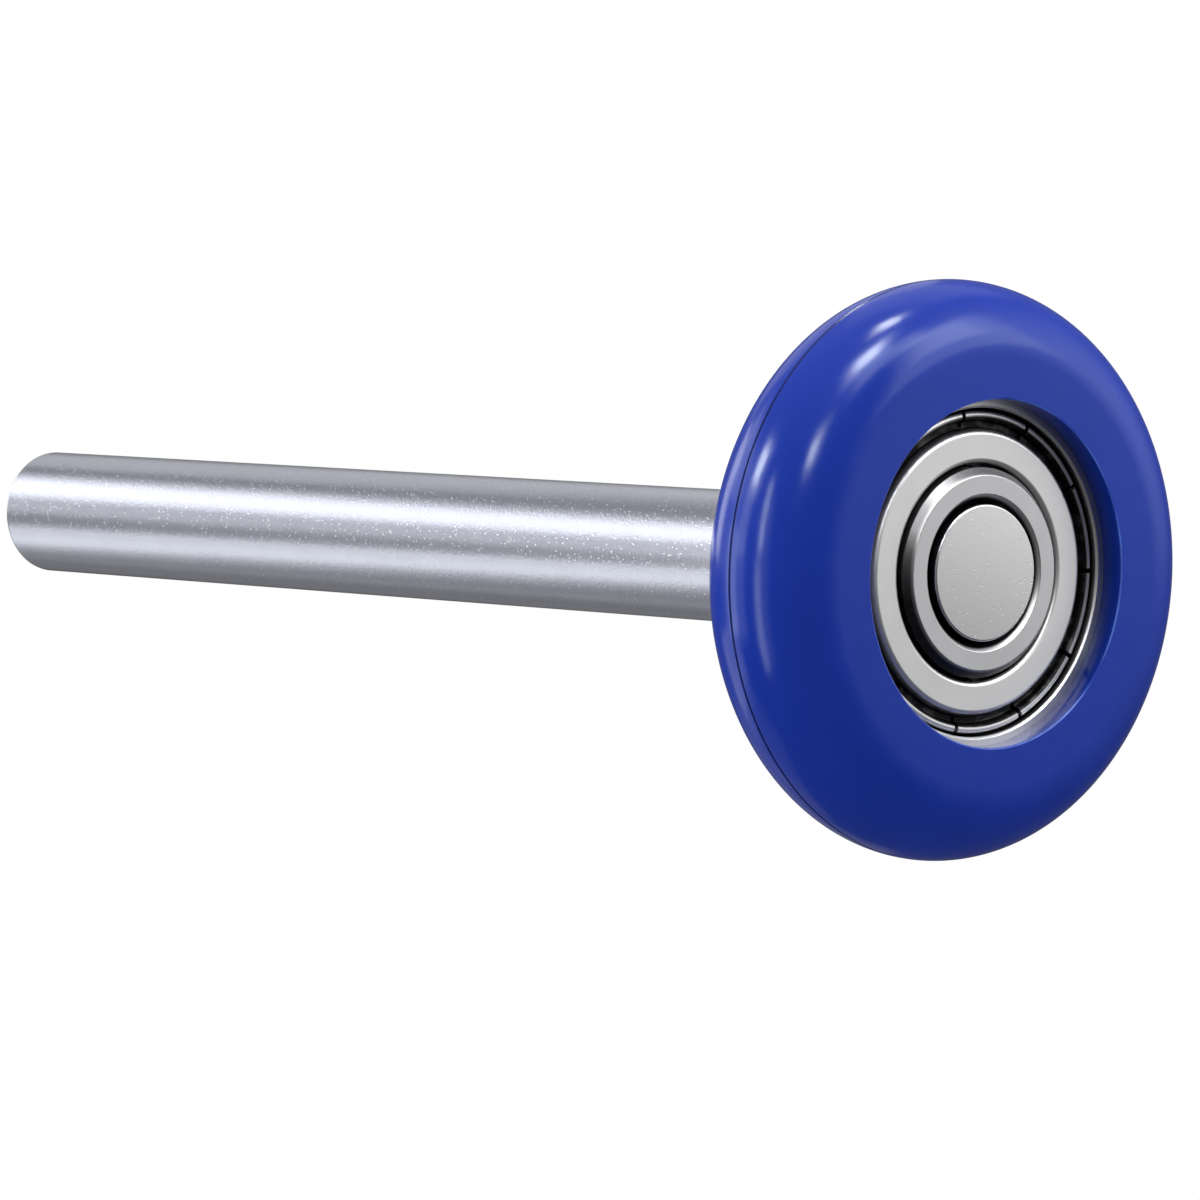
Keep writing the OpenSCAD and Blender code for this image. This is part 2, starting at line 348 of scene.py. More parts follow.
def eased(points, closed, ease):
    """Replaces each corner of a profile by a small arc. A point is (radius, y) or (radius, y, ease), in mm.

    Returns the new points, the surface directions at them, and 1 where a point lies on an outer corner.
    """
    flat = [Vector(p[:2]) for p in points]
    count = len(flat)
    spots, ways, edges = [], [], []
    for i, p in enumerate(flat):
        if not closed and i in (0, count - 1):
            q = flat[1] if i == 0 else flat[-2]
            along = (q - p).normalized() * (1 if i == 0 else -1)
            spots.append(p)
            ways.append(Vector((along.y, -along.x)))
            edges.append(0.0)
            continue
        before, after = flat[i - 1], flat[(i + 1) % count]
        come, go = (p - before).normalized(), (after - p).normalized()
        turn = math.atan2(come.x * go.y - come.y * go.x, come.dot(go))
        if abs(turn) < SMOOTH_TURN:
            mean = (come + go).normalized()
            spots.append(p)
            ways.append(Vector((mean.y, -mean.x)))
            edges.append(0.0)
            continue
        radius = points[i][2] if len(points[i]) > 2 else ease
        room_here = SIDE_SHARE * min((p - before).length, (after - p).length)
        reach = min(radius * math.tan(abs(turn) / 2), room_here)
        radius = reach / math.tan(abs(turn) / 2)
        start, side = p - come * reach, math.copysign(1, turn)
        centre = start + side * radius * Vector((-come.y, come.x))
        steps = max(2, round(abs(turn) / ARC_STEP))
        for k in range(steps + 1):
            a = turn * k / steps
            c, s = math.cos(a), math.sin(a)
            way = Vector((come.x * c - come.y * s, come.x * s + come.y * c))
            out = Vector((way.y, -way.x))
            spots.append(centre + side * radius * out)
            ways.append(out)
            edges.append(1 - abs(2 * k / steps - 1) if side > 0 else 0.0)
    return spots, ways, edges


corner_points = len(eased([(0, 0), (1, 0), (1, 1)], False, 0.1)[0]) - 2
print("points on an eased right angle:", corner_points)

# %% A mesh that carries its own surface directions
def mesh_from(name, points, faces, directions, edges, hollow):
    """Makes a mesh whose corners carry their own surface directions.

    Two marks are stored at its points: how far each is on an edge, and how much painted shade it takes in a
    hollow.
    """
    mesh = bpy.data.meshes.new(name)
    mesh.from_pydata(points, [], faces)
    mesh.shade_smooth()
    mesh.normals_split_custom_set(directions)
    for mark, values in (("edge", edges), ("hollow", [hollow(*p) for p in points])):
        mesh.attributes.new(mark, "FLOAT", "POINT").data.foreach_set("value", values)
    made = bpy.data.objects.new(name, mesh)
    bpy.context.scene.collection.objects.link(made)
    return made


# %% Ramps for the marks
def ramp(value, low, high):
    """Rises from 0 to 1 between two values."""
    return min(1.0, max(0.0, (value - low) / (high - low)))


def between(value, low, high, soft):
    """1 between two values and 0 outside them, with soft ends."""
    return ramp(value, low - soft, low) * (1 - ramp(value, high, high + soft))


def open_surface(x, y, z):
    """The hollow mark of a piece that has no hollows."""
    return 0.0


# %% Sweep a profile round the stem
def turned(name, profile, closed=True, ease=0.1, segments=288, hollow=open_surface):
    """Sweeps a profile, given in mm with the material on its left, round the stem."""
    spots, ways, edges = eased(profile, closed, ease)
    count = len(spots)
    angles = [2 * math.pi * j / segments for j in range(segments)]
    rims = [(math.cos(a), math.sin(a)) for a in angles]
    points = [(p.x * c * MM, p.y * MM, p.x * s * MM) for c, s in rims for p in spots]
    aims = [(w.x * c, w.y, w.x * s) for c, s in rims for w in ways]
    faces = []
    for j in range(segments):
        here, there = j * count, (j + 1) % segments * count
        for i in range(count if closed else count - 1):
            k = (i + 1) % count
            faces.append([here + i, here + k, there + k, there + i])
    if not closed:
        faces, points, aims, edges = capped(faces, points, aims, edges * segments, count, segments)
    else:
        edges = edges * segments
    directions = [aims[i] for face in faces for i in face]
    made = mesh_from(name, points, faces, directions, edges, hollow)
    print(name, "-", len(made.data.polygons), "faces")
    return made


def capped(faces, points, aims, edges, count, segments):
    """Brings the two ends of an open profile, which lie on the axis, together in one point each."""
    first, last = 0, count - 1
    merged = {j * count + first: first for j in range(segments)}
    merged.update({j * count + last: last for j in range(segments)})
    made = []
    for face in faces:
        ring = []
        for i in face:
            k = merged.get(i, i)
            if k not in ring:
                ring.append(k)
        made.append(ring)
    used = sorted({i for face in made for i in face})
    new = {old: n for n, old in enumerate(used)}
    return ([[new[i] for i in face] for face in made], [points[i] for i in used],
            [aims[i] for i in used], [edges[i] for i in used])


# %% [markdown]
# ## The tyre
#
# The wheel is moulded in nylon straight onto the bearing. Its tread is a half round, so that it rolls in
# the curved track of the door. The mould opens at the middle of the tread and leaves a fine parting line
# there. Two flat faces run in to a rounded lip, which holds the bearing. A torus would give the tread
# alone. One closed profile gives all of it at its true sizes.

# %% Tread of the tyre
TYRE_RADIUS = 23.4
TYRE_HALF = 6.1


def tread_point(angle):
    """Point of the round tread at an angle in degrees, measured from the crown towards +Y."""
    a = math.radians(angle)
    return TYRE_RADIUS - TYRE_HALF * (1 - math.cos(a)), TYRE_HALF * math.sin(a)


def half_tread(first, last, steps=48):
    """Points of the tread between two angles."""
    return [tread_point(first + (last - first) * i / steps) for i in range(steps + 1)]


print("tread width, mm:", 2 * TYRE_HALF)

# %% Tyre
LIP_RADIUS = 13.92
LIP_EASE = 0.16
PARTING_DEPTH = 0.09
PARTING_HALF = 0.12
RING_RADIUS = 15.0
RING_FACE = 4.0
RING_CHAMFER = 0.5
TYRE_EASE = 0.03
LINE_BLEND = 0.5
LINE_DEPTH = 0.2
BORE_SHADE_END = 6.0
BORE_SHADE_LOSS = 0.75
TOUCH = 0.01


def in_tyre_corners(x, y, z):
    """Shade is painted into the parting line and over the bore of the lip, darkest down towards the bearing.
    """
    r = math.hypot(x, z) / MM
    line = (r > TYRE_RADIUS - LINE_DEPTH) * (abs(y) / MM < PARTING_HALF + TOUCH)
    fade = BORE_SHADE_LOSS * ramp(abs(y) / MM, RING_FACE, BORE_SHADE_END)
    bore = (1 - fade) * (r < LIP_RADIUS + 3 * TOUCH)
    return max(line, bore)


parting_angle = math.degrees(PARTING_HALF / TYRE_HALF)
clean_angle = parting_angle + LINE_BLEND
seat = [
    (LIP_RADIUS, RING_FACE), (RING_RADIUS - RING_CHAMFER, RING_FACE),
    (RING_RADIUS, RING_FACE - RING_CHAMFER)]
tyre = turned(
    "tyre_skin",
    [(LIP_RADIUS, -TYRE_HALF, LIP_EASE)]
    + half_tread(-90, -clean_angle)
    + [tread_point(-parting_angle), (TYRE_RADIUS - PARTING_DEPTH, 0, TYRE_EASE), tread_point(parting_angle)]
    + half_tread(clean_angle, 90)
    + [(LIP_RADIUS, TYRE_HALF, LIP_EASE)]
    + seat + [(r, -y) for r, y in reversed(seat)],
    ease=TYRE_EASE, segments=360, hollow=in_tyre_corners)

# %% [markdown]
# ## The stem
#
# The stem is a cold-drawn steel bar. The bearing sits between a stop collar and a swaged head: the bar's
# end is pressed down, so it spreads over the countersink of the inner ring. Pressing leaves its face very
# slightly crowned. A narrow groove stays open between the head and the countersink. The far end has a small
# broken edge, for sliding into the hinge. Joined cylinders would show seams at the collar and the head, so
# the bar is one open profile that starts and ends on its own axis.

# %% Stem
STEM_RADIUS = 5.5
HEAD_FACE = 4.7
HEAD_CROWN = 0.06
HEAD_FOOT = 3.67
HEAD_EASE = 0.17
JOURNAL_RADIUS = 4.99
JOURNAL_START = 3.16
COLLAR_RADIUS = 7.0
COLLAR_START = 4.5
COLLAR_END = 6.2
COLLAR_EASE = 0.2
END_EASE = 0.35
CROWN_STEPS = 8
HEAD_SHADE = (-4.55, -4.3)
stem_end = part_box("stem")[1].y / MM


def under_head(x, y, z):
    """Shade is painted into the groove round the head."""
    return ramp(y / MM, *HEAD_SHADE) * (y / MM < COLLAR_START)


crown = [
    (STEM_RADIUS * k / CROWN_STEPS, -HEAD_FACE + HEAD_CROWN * (k / CROWN_STEPS) ** 2)
    for k in range(CROWN_STEPS)]
stem = turned(
    "stem_bar",
    crown
    + [(STEM_RADIUS, -HEAD_FACE + HEAD_CROWN, HEAD_EASE), (STEM_RADIUS, -HEAD_FOOT),
       (JOURNAL_RADIUS, -JOURNAL_START), (JOURNAL_RADIUS, COLLAR_START), (COLLAR_RADIUS, COLLAR_START),
       (COLLAR_RADIUS, COLLAR_END, COLLAR_EASE), (STEM_RADIUS, COLLAR_END),
       (STEM_RADIUS, stem_end, END_EASE), (0, stem_end)],
    closed=False, ease=0.08, segments=192, hollow=under_head)
print("stem end, mm:", round(stem_end, 1))

# %% [markdown]
# ## The bearing rings
#
# Both rings are turned from bearing steel, hardened, and ground on their faces. Each has a round track for
# the balls. The inner ring is countersunk for the head of the stem and chamfered at its shoulders, and the
# outer ring has a stepped mouth with a groove, into which the rim of each shield is rolled. Cutting the
# tracks with Booleans would leave ragged shading beside them, so the rings are turned as closed profiles.
# The countersink and the shoulder's chamfer carry extra points, so that the shade painted on them can end
# where it should.

# %% Sections of the rings
TRACK_RADIUS = 2.476
INNER_TRACK = 7.589
OUTER_TRACK = 12.411
TRACK_DEPTH = 0.84
INNER_FACE = 4.5
BORE_RADIUS = 5.0
SINK_DEPTH = 1.33
SHOULDER_CHAMFER = 0.62
SHIELD_SEAT = 2.65
GROOVE_RADIUS = 13.45
GROOVE_WIDTH = 0.5
MOUTH_RADIUS = 13.2
MOUTH_CHAMFER = 0.15
SINK_POINTS = (0, 1.0, 1.2, SINK_DEPTH)
CHAMFER_POINTS = (SHOULDER_CHAMFER, 0.52, 0.4, 0)


def track(middle, shoulder, first, last, steps=24):
    """Points of a ball track, round about a centre at this radius, between two angles in degrees."""
    angles = [math.radians(first + (last - first) * i / steps) for i in range(steps + 1)]
    return [(middle + TRACK_RADIUS * math.cos(a), TRACK_RADIUS * math.sin(a)) for a in angles]


inner_shoulder = INNER_TRACK + TRACK_DEPTH
outer_shoulder = OUTER_TRACK - TRACK_DEPTH
opening = math.degrees(math.acos((TRACK_RADIUS - TRACK_DEPTH) / TRACK_RADIUS))
inner_half = [(BORE_RADIUS + d, INNER_FACE - SINK_DEPTH + d) for d in SINK_POINTS]
inner_half += [(inner_shoulder - d, INNER_FACE - SHOULDER_CHAMFER + d) for d in CHAMFER_POINTS]
outer_half = [
    (outer_shoulder, SHIELD_SEAT), (GROOVE_RADIUS, SHIELD_SEAT), (GROOVE_RADIUS, SHIELD_SEAT + GROOVE_WIDTH),
    (MOUTH_RADIUS, SHIELD_SEAT + GROOVE_WIDTH), (MOUTH_RADIUS, RING_FACE - MOUTH_CHAMFER),
    (MOUTH_RADIUS + MOUTH_CHAMFER, RING_FACE), (RING_RADIUS - RING_CHAMFER, RING_FACE),
    (RING_RADIUS, RING_FACE - RING_CHAMFER)]
print("shoulders, mm:", round(2 * inner_shoulder, 2), round(2 * outer_shoulder, 2))

# %% Painted shade on the rings
TRACK_END = 3.0
FACE_MIDDLE = 7.0
SINK_SHADE = (6.0, 6.2)
CHAMFER_SHADE = (7.81, 7.96)
CHAMFER_DEPTHS = (-5, 2)  # below the wheel's axis, where the painted shade on the chamfer starts and is full
CHAMFER_LEAST = 0.62
CHAMFER_MORE = 0.34
MOUTH_SHADE = (3.6, 3.85)
MOUTH_END = 14.0


def in_inner_ring(x, y, z):
    """Painted shade darkens the countersink and the track, and lies on the chamfer, heaviest at the bottom.
    """
    r = math.hypot(x, z) / MM
    if abs(y) / MM <= TRACK_END:
        return 1.0
    if r > FACE_MIDDLE:
        return ramp(r, *CHAMFER_SHADE) * (CHAMFER_LEAST + CHAMFER_MORE * ramp(-z / MM, *CHAMFER_DEPTHS))
    return 1 - ramp(r, *SINK_SHADE)


def in_mouth(x, y, z):
    """Shade is painted into the mouth of the outer ring, down from its edge."""
    r = math.hypot(x, z) / MM
    return (1 - ramp(abs(y) / MM, *MOUTH_SHADE)) * (r < MOUTH_END)


# %% Rings
inner_ring = turned(
    "inner_ring_ground",
    [(r, -y) for r, y in inner_half]
    + track(INNER_TRACK + TRACK_RADIUS, inner_shoulder, 180 + opening, 180 - opening)
    + list(reversed(inner_half)),
    ease=0.1, hollow=in_inner_ring)
outer_ring = turned(
    "outer_ring_ground",
    list(reversed(outer_half)) + track(OUTER_TRACK - TRACK_RADIUS, outer_shoulder, opening, -opening)
    + [(r, -y) for r, y in outer_half],
    ease=0.08, hollow=in_mouth)

# %% [markdown]
# ## The pressed shields
#
# Each shield is pressed from sheet steel and keeps grease in and dirt out. Its section is one sheet of even
# thickness: an edge turned in beside the inner ring, a flat plate, a step down into a valley, and a rolled
# rim that springs into the groove of the outer ring. Slots let the rim give as it is pressed home. The
# sheet is drawn as a middle line with bends, and its two faces lie half a thickness to either side. A
# Solidify modifier does the same to any surface, but here the cut sides of the slots need exact corners.

# %% A helper that bends a sheet
SHEET = 0.3
BEND = 0.25
WALL_ANGLE = 68.0


def wall(rise):
    """Straight length and run of a sloping wall between two bends, for the height that it climbs."""
    a = math.radians(WALL_ANGLE)
    straight = (rise - 2 * BEND * (1 - math.cos(a))) / math.sin(a)
    return straight, 2 * BEND * math.sin(a) + straight * math.cos(a)


def bent_sheet(start, heading, steps, pieces=7):
    """Middle points and left-hand directions of a sheet that goes straight and then turns, step by step."""
    at, a = Vector(start), math.radians(heading)
    middle, left = [at.copy()], [Vector((-math.sin(a), math.cos(a)))]
    for length, turn in steps:
        at += length * Vector((math.cos(a), math.sin(a)))
        turn = math.radians(turn)
        side = math.copysign(1, turn)
        centre = at + side * BEND * Vector((-math.sin(a), math.cos(a)))
        for k in range(pieces + 1 if turn else 1):
            b = a + turn * k / pieces
            aside = Vector((-math.sin(b), math.cos(b)))
            middle.append(centre - side * BEND * aside if turn else at.copy())
            left.append(aside)
        a += turn
        at = middle[-1].copy()
    return middle, left


# %% Section of the shield
HEM_ANGLE = 62.0
PLATE_RISE = 0.85
RIM_RISE = 0.65
PLATE_RADIUS = 11.35
RIM_RADIUS = 12.6
HEM_LENGTH = 0.1
SHIELD_GAP = 0.35
SEAT_GAP = 0.01

hem = math.radians(HEM_ANGLE)
edge_x = inner_shoulder + SHIELD_GAP + math.sin(hem) * SHEET / 2
hem_run = HEM_LENGTH * math.cos(hem) + BEND * math.sin(hem)
hem_rise = HEM_LENGTH * math.sin(hem) + BEND * (1 - math.cos(hem))
plate_wall, plate_run = wall(PLATE_RISE)
rim_wall, rim_run = wall(RIM_RISE)
plate_top = SHIELD_SEAT + SHEET + PLATE_RISE
sheet_steps = [
    (HEM_LENGTH, -HEM_ANGLE),
    (PLATE_RADIUS - plate_run / 2 - edge_x - hem_run, -WALL_ANGLE),
    (plate_wall, WALL_ANGLE),
    (RIM_RADIUS - rim_run - PLATE_RADIUS - plate_run / 2, WALL_ANGLE),
    (rim_wall, -2 * WALL_ANGLE),
    (rim_wall, WALL_ANGLE),
    (GROOVE_RADIUS - SEAT_GAP - RIM_RADIUS - rim_run, 0)]
middle_line, left_side = bent_sheet((edge_x, plate_top - SHEET / 2 - hem_rise), HEM_ANGLE, sheet_steps)
print("points along the sheet:", len(middle_line))

# %% Slots, and painted shade in the valley
SLOTS = 11
SLOT_WIDTH = 0.4
SLOT_TURN = 1.7
VALLEY_START = 11.55
VALLEY_SOFT = 0.12
STRIP = (12.55, 12.86)
STRIP_SOFT = 0.06
slot_start = PLATE_RADIUS + plate_run / 2


def in_shield_valley(x, y, z):
    """Shade is painted into the valley of a shield and the gap beyond, leaving a strip on its rim unshaded.
    """
    r = math.hypot(x, z) / MM
    return ramp(r, VALLEY_START - VALLEY_SOFT, VALLEY_START) * (1 - between(r, *STRIP, STRIP_SOFT))


# %% Sweep the sheet between its slots
def shield(name, side, columns=26):
    """Sweeps the sheet between the slots and closes their sides. Side is 1 for +Y and -1 for -Y."""
    count = len(middle_line)
    cut_from = min(range(count), key=lambda i: (abs(middle_line[i].x - slot_start), i))
    outline = [(m + SHEET / 2 * l, l) for m, l in zip(middle_line, left_side)]
    outline += [(m - SHEET / 2 * l, -l) for m, l in reversed(list(zip(middle_line, left_side)))]
    ring = len(outline)
    pitch = 2 * math.pi / SLOTS
    points, aims = [], []
    for k in range(SLOTS):
        for j in range(columns + 1):
            for p, way in outline:
                half = math.asin(SLOT_WIDTH / 2 / p.x)
                a = -math.radians(SLOT_TURN) - k * pitch + half + (pitch - 2 * half) * j / columns
                c, s = math.cos(a), math.sin(a)
                points.append((p.x * c * MM, side * p.y * MM, p.x * s * MM))
                aims.append((way.x * c, side * way.y, way.x * s))
    faces, directions = [], []

    def face(corners, smooth=True):
        corners = corners if side > 0 else corners[::-1]
        faces.append(corners)
        if smooth:
            directions.extend(aims[i] for i in corners)
            return
        a, b, c = (Vector(points[i]) for i in corners[:3])
        flat = (b - a).cross(c - b).normalized()
        directions.extend([tuple(flat)] * len(corners))

    def at(k, j, i):
        return ((k % SLOTS) * (columns + 1) + j) * ring + i % ring

    for k in range(SLOTS):
        for i in range(ring):
            for j in range(columns):
                face([at(k, j, i), at(k, j + 1, i), at(k, j + 1, i + 1), at(k, j, i + 1)])
        for i in list(range(cut_from)) + list(range(ring - 1 - cut_from, ring)):
            face([at(k + 1, columns, i), at(k, 0, i), at(k, 0, i + 1), at(k + 1, columns, i + 1)])
        low = ring - 1 - cut_from
        face([at(k + 1, columns, cut_from), at(k, 0, cut_from), at(k, 0, low),
              at(k + 1, columns, low)], False)
        for i in range(cut_from, count - 1):
            across = ring - 1 - i
            face([at(k, 0, i), at(k, 0, i + 1), at(k, 0, across - 1), at(k, 0, across)], False)
            face([at(k, columns, across), at(k, columns, across - 1), at(k, columns, i + 1),
                  at(k, columns, i)], False)
    made = mesh_from(name, points, faces, directions, [0.0] * len(points), in_shield_valley)
    print(name, "-", len(made.data.polygons), "faces")
    return made


# %% Shields
front_shield = shield("front_shield_sheet", -1)
rear_shield = shield("rear_shield_sheet", 1)

# %% [markdown]
# ## Marks that several finishes share
#
# Real surfaces are told apart by small marks. Five of them turn up in more than one finish here, so each is
# a node group with named inputs, built once. Tone drifts slowly over a surface, turned and ground faces
# carry fine rings round the axis, handling leaves specks and ticks, eased edges are rubbed bright, with a
# painted highlight on the plastic, and shade is painted into hollows.

# %% A helper for node groups
MM_PER_METRE = 1000.0


def group(name, inputs, outputs):
    """Starts a shader node group. Inputs are (name, type, value), and outputs are (name, type)."""
    made = bpy.data.node_groups.new(name, "ShaderNodeTree")
    for label, kind, value in inputs:
        socket = made.interface.new_socket(label, in_out="INPUT", socket_type="NodeSocket" + kind)
        if value is not None:
            socket.default_value = value
    for label, kind in outputs:
        made.interface.new_socket(label, in_out="OUTPUT", socket_type="NodeSocket" + kind)
    return made, made.nodes.new("NodeGroupInput"), made.nodes.new("NodeGroupOutput")


def use(tree, made, values):
    """Places a node group in a material with its own values."""
    placed = tree.nodes.new("ShaderNodeGroup")
    placed.node_tree = made
    for name, value in values.items():
        placed.inputs[name].default_value = value
    return placed


# %% Slow drift of tone
drift, given, gives = group(
    "Drift", [("Place", "Vector", None), ("Size mm", "Float", 4.0), ("Low", "Float", 0.0),
              ("High", "Float", 1.0)],
    [("Value", "Float")])
per_metre = add(drift, "Math", {0: MM_PER_METRE}, operation="DIVIDE")
cloud = add(drift, "TexNoise", {"Detail": 4.0, "Roughness": 0.55})
spread = add(drift, "MapRange", {"From Min": 0.3, "From Max": 0.7})
link(drift,
     (given.outputs["Place"], cloud.inputs["Vector"]),
     (given.outputs["Size mm"], per_metre.inputs[1]),
     (per_metre.outputs[0], cloud.inputs["Scale"]),
     (cloud.outputs["Fac"], spread.inputs["Value"]),
     (given.outputs["Low"], spread.inputs["To Min"]),
     (given.outputs["High"], spread.inputs["To Max"]),
     (spread.outputs["Result"], gives.inputs["Value"]))
print(drift.name, "- nodes:", len(drift.nodes))

# %% Rings left by turning and grinding
rings, given, gives = group(
    "Turned rings", [("Place", "Vector", None), ("Spacing mm", "Float", 0.08), ("Wander", "Float", 0.3)],
    [("Height", "Float")])
apart = add(rings, "SeparateXYZ")
level_out = add(rings, "CombineXYZ")
radius = add(rings, "VectorMath", operation="LENGTH")
about = add(rings, "Math", operation="ARCTAN2")
slow = add(rings, "Math", operation="MULTIPLY")
fine = add(rings, "Math", {0: MM_PER_METRE}, operation="DIVIDE")
fine_radius = add(rings, "Math", operation="MULTIPLY")
fine_along = add(rings, "Math", operation="MULTIPLY")
laid = add(rings, "CombineXYZ")
grooves = add(rings, "TexNoise", {"Scale": 1.0, "Detail": 3.0, "Roughness": 0.6})
link(rings,
     (given.outputs["Place"], apart.inputs[0]),
     (apart.outputs["X"], level_out.inputs["X"]),
     (apart.outputs["Z"], level_out.inputs["Y"]),
     (level_out.outputs[0], radius.inputs[0]),
     (apart.outputs["Z"], about.inputs[0]),
     (apart.outputs["X"], about.inputs[1]),
     (about.outputs[0], slow.inputs[0]),
     (given.outputs["Wander"], slow.inputs[1]),
     (given.outputs["Spacing mm"], fine.inputs[1]),
     (radius.outputs["Value"], fine_radius.inputs[0]),
     (fine.outputs[0], fine_radius.inputs[1]),
     (apart.outputs["Y"], fine_along.inputs[0]),
     (fine.outputs[0], fine_along.inputs[1]),
     (fine_radius.outputs[0], laid.inputs["X"]),
     (fine_along.outputs[0], laid.inputs["Y"]),
     (slow.outputs[0], laid.inputs["Z"]),
     (laid.outputs[0], grooves.inputs["Vector"]),
     (grooves.outputs["Fac"], gives.inputs["Height"]))
print(rings.name, "- nodes:", len(rings.nodes))

# %% Specks and ticks
CRISP = 2.5

specks, given, gives = group(
    "Specks and ticks",
    [("Place", "Vector", None), ("Size mm", "Float", 1.0), ("Stretch", "Vector", (1.0, 1.0, 1.0)),
     ("Turn", "Vector", (0.0, 0.0, 0.0)), ("Amount", "Float", 0.12)],
    [("Mask", "Float")])
turned_place = add(specks, "VectorRotate", rotation_type="EULER_XYZ")
stretched = add(specks, "VectorMath", operation="DIVIDE")
per_metre = add(specks, "Math", {0: MM_PER_METRE}, operation="DIVIDE")
cells = add(specks, "TexVoronoi", feature="F1")
near = add(specks, "MapRange", {"From Min": 0.0, "To Min": 1.0, "To Max": 0.0})
crisp = add(specks, "Math", {1: CRISP}, operation="MULTIPLY", use_clamp=True)
link(specks,
     (given.outputs["Place"], turned_place.inputs["Vector"]),
     (given.outputs["Turn"], turned_place.inputs["Rotation"]),
     (turned_place.outputs[0], stretched.inputs[0]),
     (given.outputs["Stretch"], stretched.inputs[1]),
     (stretched.outputs[0], cells.inputs["Vector"]),
     (given.outputs["Size mm"], per_metre.inputs[1]),
     (per_metre.outputs[0], cells.inputs["Scale"]),
     (cells.outputs["Distance"], near.inputs["Value"]),
     (given.outputs["Amount"], near.inputs["From Max"]),
     (near.outputs["Result"], crisp.inputs[0]),
     (crisp.outputs[0], gives.inputs["Mask"]))
print(specks.name, "- nodes:", len(specks.nodes))

# %% Rubbed edges and painted edge highlight
# On the metals this mask marks worn edges. On the nylon it lays a painted highlight along the eased edges.
wear_and_highlight_edges, given, gives = group(
    "Rubbed edges and painted edge highlight", [("Place", "Vector", None), ("Amount", "Float", 1.0), ("Break-up mm", "Float", 1.5)],
    [("Mask", "Float")])
corner = add(wear_and_highlight_edges, "Attribute", attribute_name="edge")
per_metre = add(wear_and_highlight_edges, "Math", {0: MM_PER_METRE}, operation="DIVIDE")
patches = add(wear_and_highlight_edges, "TexNoise", {"Detail": 3.0})
broken = add(wear_and_highlight_edges, "MapRange", {"From Min": 0.35, "From Max": 0.6})
on_edge = add(wear_and_highlight_edges, "Math", operation="MULTIPLY")
amount = add(wear_and_highlight_edges, "Math", operation="MULTIPLY")
link(wear_and_highlight_edges,
     (given.outputs["Place"], patches.inputs["Vector"]),
     (given.outputs["Break-up mm"], per_metre.inputs[1]),
     (per_metre.outputs[0], patches.inputs["Scale"]),
     (patches.outputs["Fac"], broken.inputs["Value"]),
     (broken.outputs["Result"], on_edge.inputs[0]),
     (corner.outputs["Fac"], on_edge.inputs[1]),
     (on_edge.outputs[0], amount.inputs[0]),
     (given.outputs["Amount"], amount.inputs[1]),
     (amount.outputs[0], gives.inputs["Mask"]))
print(wear_and_highlight_edges.name, "- nodes:", len(wear_and_highlight_edges.nodes))

# %% Painted shade in hollows
# Painted shade: darkens a surface, nearly to black, where its hollow mark is high, in grooves, valleys and
# bores.
SHADE_COLOUR = (0.012, 0.012, 0.013)

hollow_shade, given, gives = group(
    "Painted shade in hollows", [("Place", "Vector", None), ("Amount", "Float", 1.0)],
    [("Mask", "Float")])
down = add(hollow_shade, "Attribute", attribute_name="hollow")
patches = add(hollow_shade, "TexNoise", {"Scale": 900.0, "Detail": 3.0})
uneven = add(hollow_shade, "MapRange", {"From Min": 0.3, "From Max": 0.5, "To Min": 0.94})
deep = add(hollow_shade, "Math", operation="MULTIPLY")
amount = add(hollow_shade, "Math", operation="MULTIPLY", use_clamp=True)
link(hollow_shade,
     (given.outputs["Place"], patches.inputs["Vector"]),
     (patches.outputs["Fac"], uneven.inputs["Value"]),
     (uneven.outputs["Result"], deep.inputs[0]),
     (down.outputs["Fac"], deep.inputs[1]),
     (deep.outputs[0], amount.inputs[0]),
     (given.outputs["Amount"], amount.inputs[1]),
     (amount.outputs[0], gives.inputs["Mask"]))
print("node groups:", len(bpy.data.node_groups))

# %% [markdown]
# ## Finishes
#
# Each finish starts from a plain physical base, which is either a metal or a plastic, and its marks only
# nudge it: a little tone, a little roughness, and a height for the bump. Small numbers matter here, because
# strong marks would make a part of a few centimetres look much bigger than it is.

# %% A helper that starts a finish
def finish_base(name, base):
    """Starts a material with a Principled BSDF that has these values."""
    made = bpy.data.materials.new(name)
    made.use_nodes = True
    made.node_tree.nodes.clear()
    skin = add(made.node_tree, "BsdfPrincipled", base)
    place = add(made.node_tree, "TexCoord")
    out = add(made.node_tree, "OutputMaterial")
    link(made.node_tree, (skin.outputs[0], out.inputs["Surface"]))
    return made, made.node_tree, skin, place.outputs["Object"]


def blend_value(tree, mask, low, high):
    """Gives low where a mask is 0 and high where it is 1. Either may be a number or a socket."""
    made = add(tree, "Mix", data_type="FLOAT")
    tree.links.new(mask, made.inputs["Factor"])
    for name, value in (("A", low), ("B", high)):
        if isinstance(value, (int, float)):
            made.inputs[name].default_value = value
        else:
            tree.links.new(value, made.inputs[name])
    return made.outputs["Result"]


def blend_colour(tree, mask, low, high):
    """Gives one colour where a mask is 0 and another where it is 1. Either may be a socket."""
    made = add(tree, "Mix", data_type="RGBA")
    tree.links.new(mask, made.inputs["Factor"])
    for index, value in ((6, low), (7, high)):
        if isinstance(value, tuple):
            made.inputs[index].default_value = (*value, 1)
        else:
            tree.links.new(value, made.inputs[index])
    return made.outputs[2]


def bump(tree, height, depth_mm, below=None):
    """Raises the surface by a height map of this depth, over another bump if there is one."""
    made = add(tree, "Bump", {"Strength": 1.0, "Distance": depth_mm * MM})
    tree.links.new(height, made.inputs["Height"])
    if below:
        tree.links.new(below, made.inputs["Normal"])
    return made.outputs["Normal"]


